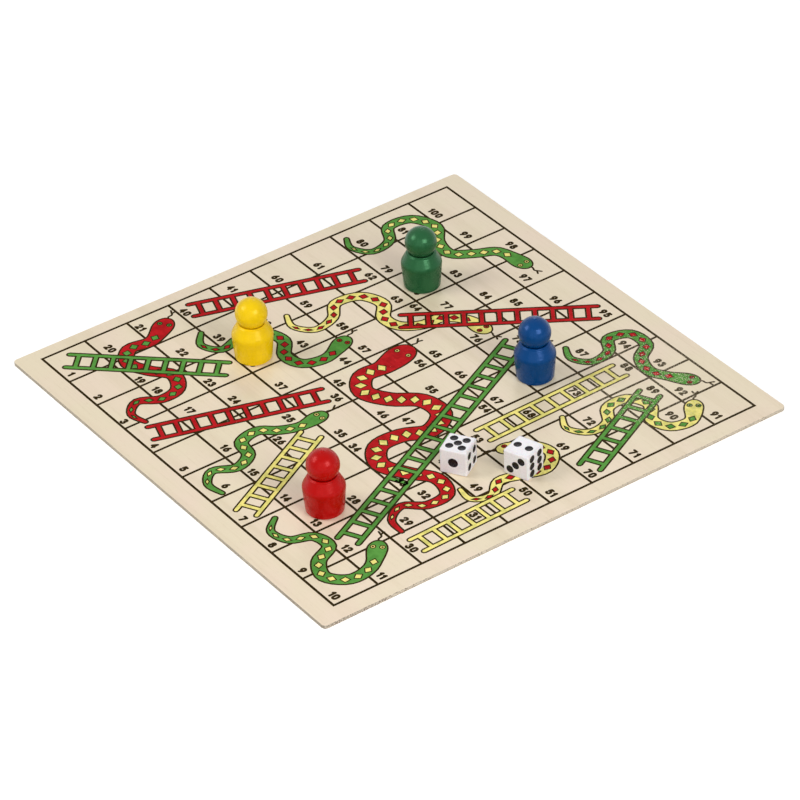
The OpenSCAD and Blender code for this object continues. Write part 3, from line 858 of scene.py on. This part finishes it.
# Sides of a turned pawn
PAWN_SIDES = 128
# Radius of the small flat face in the middle of the foot
FOOT_CLOSE = 0.03 * MM
# Height of the groove's middle above the neck, as a share of the collar's rise
GROOVE_RISE = 0.3
# Width of the groove's bottom
GROOVE_BOTTOM = 0.1 * MM
# Angle above the level at which the rounded lip ends inwards
LIP_END = 1.7


def pawn_profile(height, widest):
    """Radius and height along a pawn, from the middle of its foot to its crown.

    The foot's edge, the ridge and the head are circles, the wall and the shoulders between them
    are straight, and the nib is a flat dome, b high at its middle and r wide, of which the point at
    share t has the height b (1 - t^8)^0.5 above the head.
    """
    pawns = settings().pawns
    head, foot, rim = pawns.head_d / 2, pawns.foot_d / 2, pawns.foot_round
    ridge, soft = widest / 2, pawns.ridge_round
    head_z = height - pawns.nib_h - head
    neck_z = head_z - pawns.neck_drop * head
    collar_r, collar_z = pawns.collar_d / 2, neck_z + pawns.collar_rise

    def circle(r, z, radius, start, end, steps):
        turn = np.linspace(start, end, steps)
        return np.stack([r + radius * np.cos(turn), z + radius * np.sin(turn)], -1)

    def line(first, last, steps):
        return first + (last - first) * np.linspace(0, 1, steps + 1)[1:-1, None]

    sole = circle(foot - rim, rim, rim, -np.pi / 2, 0, 9)
    wall_turn = math.atan2(ridge - foot, pawns.ridge_z - rim)
    shoulder_turn = math.atan2(ridge - collar_r, collar_z - pawns.ridge_z)
    edge = circle(ridge - soft, pawns.ridge_z, soft, -wall_turn, shoulder_turn, 13)
    collar = np.array([[collar_r, collar_z]])
    lip = circle(collar_r - pawns.lip, collar_z - pawns.lip, pawns.lip, shoulder_turn, LIP_END, 8)
    neck_r = head * math.sqrt(1 - pawns.neck_drop ** 2)
    groove = np.array([[(collar_r + neck_r) / 2, neck_z + GROOVE_RISE * pawns.collar_rise],
                       [neck_r + GROOVE_BOTTOM, neck_z]])
    nib = pawns.nib_d / 2
    ball = circle(0, head_z, head, -math.asin(pawns.neck_drop), math.acos(nib / head), 60)
    t = np.linspace(1, 0.04, 12)[1:, None]
    crown = np.column_stack([nib * t, head_z + np.sqrt(head ** 2 - (nib * t) ** 2)
                             + pawns.nib_h * np.sqrt(1 - t ** 8)])
    return np.concatenate([[[FOOT_CLOSE, 0.0]], sole, line(sole[-1], edge[0], 12), edge,
                           line(edge[-1], collar[0], 12), lip, groove, ball, crown])


class BOARDGAME_OT_pawns(bpy.types.Operator):
    """Turns the four pawns and paints them."""
    bl_idname = "boardgame.pawns"
    bl_label = "Pawns"

    def execute(self, context):
        for name in PAWN_COLOURS:
            node = f"pawn_{name}"
            low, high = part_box(node)
            middle = np.array([(low.x + high.x) / 2, (low.y + high.y) / 2, low.z])
            profile = pawn_profile(high.z - low.z, high.x - low.x)
            points, faces = skin(turned(profile, PAWN_SIDES))
            paint = paint_material(f"{name}_paint", getattr(settings().pawns, name), middle)
            made = piece(f"turned_pawn_{name}", points + middle, faces, paint)
            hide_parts(node)
            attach(made, f"{name}_pawn")
        return {"FINISHED"}


# Dice

# Sides of a pip, steps from its middle to its rim, and radius of its closing face against the rim
PIP_SIDES = 40
PIP_STEPS = 12
PIP_CLOSE = 0.02
# The paint in a pip thickens from nothing at the rim over this share of the radius
RIM_SHARE = 1 / 6


def solid_groups(points, triangles):
    """Number of the separate solid that each vertex is part of.

    Vertices at one place are one. Each triangle's corners take the least number among them,
    again and again until nothing changes.
    """
    places, same = np.unique(np.round(points, 6), axis=0, return_inverse=True)
    corners = same.reshape(-1)[triangles]
    label = np.arange(len(places))
    while True:
        least = label[corners].min(axis=1)
        lower = label.copy()
        for k in range(3):
            np.minimum.at(lower, corners[:, k], least)
        if np.array_equal(lower, label):
            return label[same.reshape(-1)]
        label = lower


def bowl(radius, ball, thickness):
    """A thin bowl that opens upwards with its rim at height 0, between two parallel balls.

    Underneath is the ball of this radius whose cap has the rim's radius, and the upper face is
    the same cap raised by the thickness in its middle and by none at the rim.
    """
    edge = math.sqrt(ball ** 2 - radius ** 2)
    out = np.linspace(PIP_CLOSE, 1, PIP_STEPS) * radius
    under = np.stack([out, edge - np.sqrt(ball ** 2 - out ** 2)], -1)
    back = np.linspace(1, PIP_CLOSE, PIP_STEPS)[1:]
    lift = thickness * np.minimum(1, (1 - back) / RIM_SHARE)
    upper = np.stack([back * radius, edge - np.sqrt(ball ** 2 - (back * radius) ** 2) + lift], -1)
    return skin(turned(np.concatenate([under, upper]), PIP_SIDES))


def painted_pips(name, turn):
    """Bowls of paint in a die's hollows, at the places of its solids of paint in the frame."""
    points, triangles = node_mesh(f"die_{name}_pips")
    low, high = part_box(f"die_{name}")
    middle = np.array(low + high) / 2
    edge = high.z - low.z
    spin = np.array([[math.cos(turn), math.sin(turn), 0], [-math.sin(turn), math.cos(turn), 0],
                     [0, 0, 1.0]])
    local = (points - middle) @ spin.T
    groups = solid_groups(points, triangles)
    parts = []
    for label in np.unique(groups):
        dots = local[groups == label]
        centre = (dots.min(0) + dots.max(0)) / 2
        axis = int(np.argmax(np.abs(centre)))
        sign = np.sign(centre[axis])
        depth = edge / 2 - np.abs(dots[:, axis])
        disc = np.ptp(dots, axis=0)[(axis + 1) % 3] / 2
        cap = depth.max() - depth.min()
        ball = (disc ** 2 + cap ** 2) / (2 * cap)
        rim = math.sqrt(ball ** 2 - (ball - depth.max()) ** 2)
        bowl_points, faces = bowl(rim, ball, settings().dice.paint_t)
        out = np.zeros(3)
        out[axis] = sign
        across = np.roll(out, 1)
        up = np.cross(out, across)
        centre[axis] = sign * edge / 2
        placed = centre + bowl_points @ np.array([across, up, out])
        parts.append((placed @ spin + middle, faces))
    return joined(parts)


class BOARDGAME_OT_dice(bpy.types.Operator):
    """Finishes the dice and paints their pips."""
    bl_idname = "boardgame.dice"
    bl_label = "Dice"

    def execute(self, context):
        dice = settings().dice
        plastic, paint = dice_material(dice), pip_material(dice)
        for name in DICE:
            paint_node(f"die_{name}", plastic)
            points, faces = painted_pips(name, getattr(dice, f"{name}_turn"))
            made = piece(f"{name}_die_pips", points, faces, paint)
            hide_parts(f"die_{name}_pips")
            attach(made, f"{name}_die")
        return {"FINISHED"}


# Studio

# Name of each light, setting of its power, direction from the board, and size in metres
LIGHTS = (
    ("light_right", "key_power", (0.83, 0.01, 0.56), 0.5),
    ("light_left", "fill_power", (-0.40, -0.64, 0.65), 0.5),
    ("light_back", "back_power", (-0.60, 0.51, 0.61), 0.24),
    ("light_front", "front_power", (0.70, -0.62, 0.35), 1.2),
)
LIGHT_DISTANCE = 1.1
# From the middle of the floor to its sides
FLOOR_REACH = 6.0
# Gap under the board, so that the floor and its underside don't share a plane
FLOOR_DROP = 0.02 * MM


def seen_directly(graph):
    """1 on rays from the camera, off gloss or through glass, and 0 on all others."""
    seen = graph.add("ShaderNodeLightPath").outputs
    direct = graph.math("ADD", seen["Is Camera Ray"], seen["Is Glossy Ray"])
    return graph.math("ADD", direct, seen["Is Transmission Ray"], clamp=True)


def floor_material():
    """White floor: matt, and lifted to white where it is seen directly or in a reflection."""
    made, graph, place, shader = material("floor_white")
    off = graph.add("ShaderNodeVectorMath", {0: place}, operation="LENGTH").outputs["Value"]
    glow = graph.step(off, 0.3, 1.8, 0.42, 0.8)
    graph.feed(shader, {
        "Base Color": (0.85, 0.85, 0.85, 1), "Roughness": 0.9, "Specular IOR Level": 0.1,
        "Emission Color": (1, 1, 1, 1),
        "Emission Strength": graph.math("MULTIPLY", seen_directly(graph), glow)})
    return made


def soft_light(name, direction, size, power):
    """Adds a square light in this direction from the board, turned to face it."""
    lamp = bpy.data.lights.new(name, "AREA")
    lamp.shape = "SQUARE"
    lamp.size = size
    lamp.energy = power
    made = placed(name, lamp)
    way = Vector(direction).normalized()
    made.location = way * LIGHT_DISTANCE
    made.rotation_euler = way.to_track_quat("Z", "Y").to_euler()


def even_sky(strength):
    """A white sky that lights with this strength, and is full white where it is seen."""
    world = bpy.data.worlds.new("even_sky")
    world.use_nodes = True
    world.node_tree.nodes.clear()
    graph = Graph(world.node_tree)
    shown = graph.step(seen_directly(graph), 0, 1, strength, 1.0)
    sky = graph.add("ShaderNodeBackground", {"Color": (1, 1, 1, 1), "Strength": shown})
    graph.add("ShaderNodeOutputWorld", {"Surface": sky.outputs[0]})
    return world


def aimed_camera(studio):
    """The camera, at its distance from the point that it looks at.

    With heading h and elevation e it looks along (cos e cos h, cos e sin h, -sin e).
    """
    ahead = Vector((math.cos(studio.elevation) * math.cos(studio.heading),
                    math.cos(studio.elevation) * math.sin(studio.heading),
                    -math.sin(studio.elevation)))
    level = ahead.cross(Vector((0, 0, 1))).normalized()
    upright = level.cross(ahead)
    right = level * math.cos(studio.roll) + upright * math.sin(studio.roll)
    camera = bpy.data.cameras.new("camera")
    camera.sensor_width = 36
    camera.lens = studio.focal_share * camera.sensor_width
    camera.clip_end = 20
    made = placed("camera", camera)
    aim = Vector((studio.aim_x, studio.aim_y, studio.aim_z))
    turn = Matrix((right, right.cross(ahead), -ahead)).transposed().to_4x4()
    made.matrix_world = Matrix.Translation(aim - ahead * studio.distance) @ turn
    return made


class BOARDGAME_OT_studio(bpy.types.Operator):
    """Sets up the floor, the lights, the sky and the camera."""
    bl_idname = "boardgame.studio"
    bl_label = "Studio"

    def execute(self, context):
        studio, scene = settings().studio, context.scene
        corners = np.array([[-1, -1, 0], [1, -1, 0], [1, 1, 0], [-1, 1, 0]]) * FLOOR_REACH
        corners[:, 2] = CAD_BOX[0][2] - FLOOR_DROP
        piece("studio_floor", corners, [[0, 1, 2, 3]], floor_material())
        for name, power, direction, size in LIGHTS:
            soft_light(name, direction, size, getattr(studio, power))
        scene.world = even_sky(studio.sky)
        scene.view_settings.view_transform = "Standard"
        scene.camera = aimed_camera(studio)
        return {"FINISHED"}


class BOARDGAME_PT_panel(bpy.types.Panel):
    """Lists the steps that make the set."""
    bl_label = "Board Game"
    bl_idname = "BOARDGAME_PT_panel"
    bl_space_type = "VIEW_3D"
    bl_region_type = "UI"
    bl_category = "Board Game"

    def draw(self, context):
        for step in STEPS:
            self.layout.operator(step.bl_idname)
        for name in SetSettings.__annotations__:
            group = getattr(settings(), name)
            box = self.layout.box()
            for key in type(group).__annotations__:
                box.prop(group, key)


STEPS = (
    BOARDGAME_OT_plies,
    BOARDGAME_OT_films,
    BOARDGAME_OT_numbers,
    BOARDGAME_OT_pawns,
    BOARDGAME_OT_dice,
    BOARDGAME_OT_studio,
)
GROUPS = (BoardSettings, PrintSettings, PawnSettings, DiceSettings, StudioSettings, SetSettings)


def register():
    """Registers the settings, the steps and the panel."""
    for part in GROUPS + STEPS + (BOARDGAME_PT_panel,):
        bpy.utils.register_class(part)
    bpy.types.Scene.board_game = PointerProperty(type=SetSettings)


def unregister():
    """Takes the panel, the steps and the settings away again."""
    del bpy.types.Scene.board_game
    for part in reversed(GROUPS + STEPS + (BOARDGAME_PT_panel,)):
        bpy.utils.unregister_class(part)


def main():
    """Makes the whole set."""
    register()
    for make in (veneer_effect, cut_edge_effect, ink_effect, paint_effect):
        make()
    for step in STEPS:
        group, name = step.bl_idname.split(".")
        getattr(getattr(bpy.ops, group), name)()


if __name__ == "__main__":
    main()
